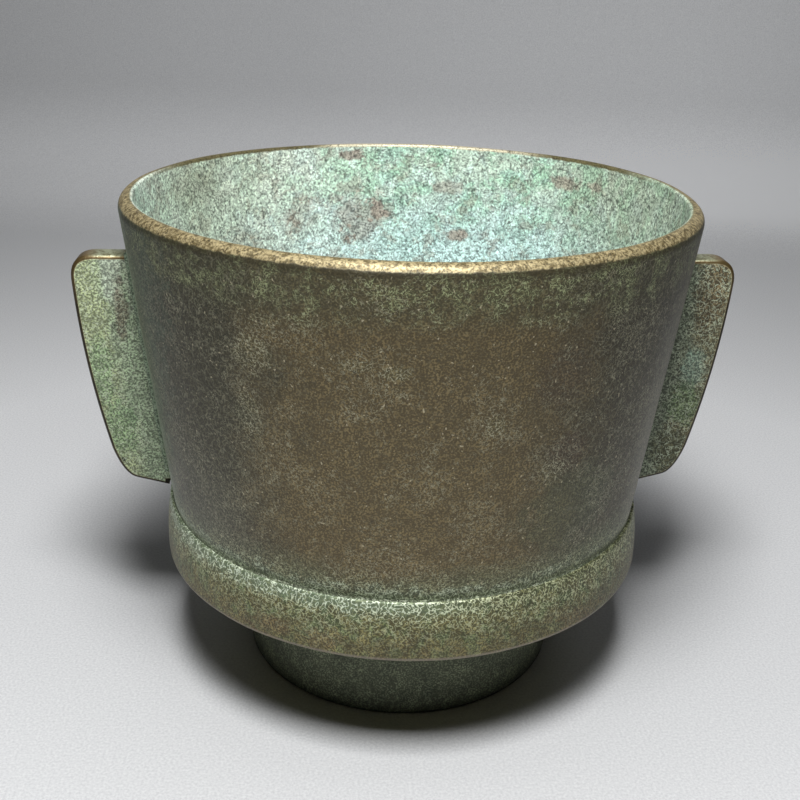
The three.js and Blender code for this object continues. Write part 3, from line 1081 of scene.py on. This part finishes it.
def make_floor():
    """The front edge of the sheet, pulled back along the floor, round the bend and up."""
    bm = bmesh.new()
    corners = [bm.verts.new((x, -SHEET_HALF_WIDTH, 0)) for x in (-SHEET_HALF_WIDTH, SHEET_HALF_WIDTH)]
    swept = [bm.edges.new(corners)]
    bend = SHEET_BACK - SHEET_BEND
    steps = 12
    angles = [math.pi / 2 * i / steps for i in range(steps + 1)]
    path = [(SHEET_BEND + bend * math.sin(a), bend * (1 - math.cos(a))) for a in angles]
    path.append((SHEET_BACK, SHEET_TOP))
    at = (-SHEET_HALF_WIDTH, 0.0)
    for y, z in path:
        grown = bmesh.ops.extrude_edge_only(bm, edges=swept)
        moved = [item for item in grown["geom"] if isinstance(item, bmesh.types.BMVert)]
        edges = [item for item in grown["geom"] if isinstance(item, bmesh.types.BMEdge)]
        swept = [edge for edge in edges if all(corner in moved for corner in edge.verts)]
        bmesh.ops.translate(bm, vec=(0, y - at[0], z - at[1]), verts=moved)
        at = (y, z)
    bmesh.ops.rotate(bm, matrix=Matrix.Rotation(SHEET_TURN, 3, "Z"), verts=bm.verts)
    floor = finished("floor", bm)
    return floor


def floor_finish():
    """Matt pale grey with painted light: lighter away from the cup and along the bend, uneven to the sides.
    """
    paint = Paint("pale_sheet")
    weave = paint.noise(0.4 * MM, 2, 0.6)
    tone = paint.mix(paint.spread(weave, 0.3, 0.7, 0.0, 1.0), rgb(192, 193, 195), rgb(212, 213, 214))
    # Painted light: the sheet is darker near the cup and lighter away from it, evening out the lamp's
    # falloff.
    tone = paint.shade(tone, paint.spread(paint.radius(), 0.04, 0.13, 0.94, 1.37))
    # Painted light: a lighter band where the sheet bends up, as the bend catching the lamp.
    bend = paint.ease(paint.z, 0.0, 0.012)
    band = bend * paint.ease(paint.z, 0.055, 0.020)
    # Painted light: the floor and the upright part are shaded from side to side, and the upright part is
    # darker higher up.
    floor_lean = paint.spread(paint.x, -0.16, 0.08, 1.07, 1.04)
    back_lean = paint.spread(paint.x, -0.02, 0.14, 0.91, 1.08)
    back_lean = back_lean * paint.spread(paint.z, 0.0, 0.05, 1.0, 0.91)
    tone = paint.shade(tone, floor_lean + (back_lean - floor_lean) * bend + band * 0.26)
    return paint.finish(tone, 0.9, 0.0, weave, 0.02 * MM)


floor = make_floor()
floor.data.materials.append(floor_finish())

# %% Lamps and world
def add_lamp(name, place, width, depth, power):
    """A soft rectangular lamp that faces the cup."""
    light = bpy.data.lights.new(name, "AREA")
    light.shape = "RECTANGLE"
    light.size = width
    light.size_y = depth
    light.energy = power
    lamp = add_object(name, light)
    lamp.location = place
    aim = Vector((0, 0, cup_top / 2)) - lamp.location
    lamp.rotation_euler = aim.to_track_quat("-Z", "Y").to_euler()
    print(f"lamp {name}: {power} W at {place}")


add_lamp("overhead", (-0.014, -0.111, 0.260), 0.075, 0.075, 0.89)
add_lamp("left_side", (-0.30, 0.0, 0.60), 0.15, 0.15, 0.05)
add_lamp("right_side", (0.30, 0.0, 0.60), 0.15, 0.15, 0.08)
world = bpy.data.worlds.new("room")
world.use_nodes = True
background = world.node_tree.nodes["Background"]
background.inputs["Color"].default_value = (1, 1, 1, 1)
background.inputs["Strength"].default_value = 0.005
bpy.context.scene.world = world
bpy.context.scene.view_settings.view_transform = "Standard"
